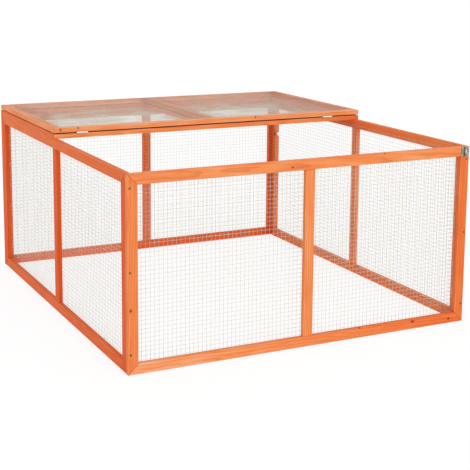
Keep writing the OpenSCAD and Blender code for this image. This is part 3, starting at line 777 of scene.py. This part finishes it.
def makeStaples(nodeName, frameNames):
    shape, count = bmesh.new(), 0
    for name in [name for name in nets if name.split("_")[0] in frameNames]:
        low, high, (first, second) = sheets[name][:3]
        through = 3 - first - second
        frameLow, frameHigh = frameBoxes[name.split("_")[0]]
        woodIsHigher = frameLow[through] + frameHigh[through] > low[through] + high[through]
        outOfWood, crown = Vector((0, 0, 0)), Vector((0, 0, 0))
        outOfWood[through], crown[first] = -1 if woodIsHigher else 1, 1
        stand = Matrix((crown, outOfWood.cross(crown), outOfWood)).transposed().to_4x4()
        for (a, b), swing in staplePlaces(name):
            place = Vector((0, 0, 0))
            place[first], place[second] = a, b
            place[through] = (high if woodIsHigher else low)[through]
            copy = stapleMesh(staple["riseMm"] + dice.uniform(*staple["riseSpreadMm"]))
            swing += dice.uniform(-staple["swingDegrees"], staple["swingDegrees"])
            spin = Matrix.Rotation(math.radians(swing), 4, "Z")
            copy.transform(Matrix.Translation(place) @ stand @ spin)
            shape.from_mesh(copy)
            bpy.data.meshes.remove(copy)
            count += 1
    mesh = bpy.data.meshes.new(nodeName)
    shape.to_mesh(mesh)
    shape.free()
    addPiece("set_" + nodeName, mesh, zinc, nodeName)
    return count


print("staples made:", makeStaples("lid_staples", ("lid",))
      + makeStaples("run_staples", ("front", "right", "back", "left", "roof")))

# Hinges, bolt and keeper: the CAD solids, edges broken as on pressed and tumbled parts
hardware = {"breakMm": 0.22, "breakSteps": 2, "weldMm": 0.005, "flatDegrees": 1,
            "sharpDegrees": 32,
            "endings": ("_leaf", "_pin", "backplate", "sliding_bolt", "bolt_keeper"),
            "darkReflected": ("bolt_backplate", "bolt_keeper")}


def makeHardware(nodeName):
    shape = bmesh.new()
    shape.from_mesh(nodes[nodeName].data)
    bmesh.ops.remove_doubles(shape, verts=shape.verts, dist=hardware["weldMm"] * mm)
    bmesh.ops.dissolve_limit(shape, angle_limit=math.radians(hardware["flatDegrees"]),
                             verts=shape.verts, edges=shape.edges)
    for face in shape.faces:
        face.smooth = True
    mesh = bpy.data.meshes.new(nodeName)
    shape.to_mesh(mesh)
    shape.free()
    # the bolt's plates take the darker zinc: painted dark reflections and shade
    metal = darkReflectionZinc if nodeName in hardware["darkReflected"] else zinc
    piece = addPiece(nodeName + "_plated", mesh, metal, nodeName)
    edge = piece.modifiers.new("brokenEdge", "BEVEL")
    edge.width, edge.segments = hardware["breakMm"] * mm, hardware["breakSteps"]
    edge.limit_method, edge.angle_limit = "ANGLE", math.radians(hardware["sharpDegrees"])
    piece.modifiers.new("evenNormals", "WEIGHTED_NORMAL")


hardwareNodes = [name for name in nodes if name.endswith(hardware["endings"])]
for nodeName in hardwareNodes:
    makeHardware(nodeName)
print("hardware made:", len(hardwareNodes))

# Stage: a pale studio floor that runs far out, seen as white, with a soft shadow
stageLook = {
    "floorMetres": 160, "floorBelowMm": 0.2, "floorColour": "#f8f8f7",
    "seenWhite": 0.76, "seenStrength": 1.065,
    "skyLow": 0.57, "skyHigh": 0.89, "skyToward": (-0.1, -0.95, 0.3), "skyColour": "#ffffff",
    # strength, angle in degrees, and where it comes from
    "softboxes": [(0.7, 34, (0.35, -0.9, 0.35)), (0.4, 50, (-0.9, -0.3, 0.35))],
}


def seenRays(owner):  # 1 for what the camera sees, straight, mirrored or through something
    rays = addNode(owner, "ShaderNodeLightPath").outputs
    seen = addNode(owner, "ShaderNodeMath", {"operation": "MAXIMUM"},
                   {0: rays["Is Camera Ray"], 1: rays["Is Glossy Ray"]}).outputs[0]
    return addNode(owner, "ShaderNodeMath", {"operation": "MAXIMUM"},
                   {0: seen, 1: rays["Is Transmission Ray"]}).outputs[0]


floorHalf = stageLook["floorMetres"] / 2
floorCorners = [(x * floorHalf, y * floorHalf, -stageLook["floorBelowMm"] * mm)
                for x, y in ((-1, -1), (1, -1), (1, 1), (-1, 1))]
floorMesh = bpy.data.meshes.new("studioFloor")
floorMesh.from_pydata(floorCorners, [], [(0, 1, 2, 3)])
floor = bpy.data.objects.new("studioFloor", floorMesh)
bpy.context.scene.collection.objects.link(floor)
paleFloor = emptyMaterial("paleStudioFloor")
share = addNode(paleFloor, "ShaderNodeMath", {"operation": "MULTIPLY", 1: stageLook["seenWhite"]},
                {0: seenRays(paleFloor)})
matte = addNode(paleFloor, "ShaderNodeBsdfDiffuse", {"Color": linear(stageLook["floorColour"])})
white = addNode(paleFloor, "ShaderNodeEmission", {"Strength": stageLook["seenStrength"]})
both = addNode(paleFloor, "ShaderNodeMixShader", {},
               {0: share.outputs[0], 1: matte.outputs[0], 2: white.outputs[0]})
addNode(paleFloor, "ShaderNodeOutputMaterial", {}, {"Surface": both.outputs[0]})
floorMesh.materials.append(paleFloor)

# Sky: plain white where it is seen; as light it is stronger from the front
world = bpy.data.worlds.new("studio")
bpy.context.scene.world = world
world.use_nodes = True
world.node_tree.nodes.clear()
skyWay = addNode(world, "ShaderNodeTexCoord").outputs["Generated"]
toward = Vector(stageLook["skyToward"]).normalized()
facing = addNode(world, "ShaderNodeVectorMath", {"operation": "DOT_PRODUCT", 1: toward},
                 {0: skyWay})
strength = addNode(world, "ShaderNodeMapRange",
                   {"From Min": -1.0, "From Max": 1.0,
                    "To Min": stageLook["skyLow"], "To Max": stageLook["skyHigh"]},
                   {"Value": facing.outputs["Value"]})
skyColour = linear(stageLook["skyColour"])
soft = addNode(world, "ShaderNodeBackground", {"Color": skyColour},
               {"Strength": strength.outputs[0]})
plain = addNode(world, "ShaderNodeBackground", {"Color": skyColour, "Strength": 1.0})
mixed = addNode(world, "ShaderNodeMixShader", {},
                {0: seenRays(world), 1: soft.outputs[0], 2: plain.outputs[0]})
addNode(world, "ShaderNodeOutputWorld", {}, {"Surface": mixed.outputs[0]})

for index, (power, angle, source) in enumerate(stageLook["softboxes"]):
    softboxLight = bpy.data.lights.new(f"softbox{index}", "SUN")
    softboxLight.energy, softboxLight.angle = power, math.radians(angle)
    softbox = bpy.data.objects.new(f"softbox{index}", softboxLight)
    bpy.context.scene.collection.objects.link(softbox)
    softbox.rotation_euler = Vector(source).to_track_quat("Z", "Y").to_euler()

# Camera: 1.1 m up, from the front left; the shift keeps the uprights nearly upright
cameraLook = {
    "place": (-1.5769, -3.2935, 1.0992), "yaw": 0.4632, "pitch": 0.1687, "roll": 0.0084,
    "lensMm": 86.37, "sensorMm": 36, "shiftY": -0.181,
}
cameraData = bpy.data.cameras.new("camera")
cameraData.lens, cameraData.sensor_width = cameraLook["lensMm"], cameraLook["sensorMm"]
cameraData.shift_y = cameraLook["shiftY"]
camera = bpy.data.objects.new("camera", cameraData)
bpy.context.scene.collection.objects.link(camera)
aim = Euler((math.pi / 2 - cameraLook["pitch"], 0, -cameraLook["yaw"])).to_matrix()
aim = aim @ Matrix.Rotation(cameraLook["roll"], 3, "Z")
camera.matrix_world = Matrix.Translation(cameraLook["place"]) @ aim.to_4x4()
bpy.context.scene.camera = camera
bpy.context.scene.view_settings.view_transform = "Standard"
print("stage set")
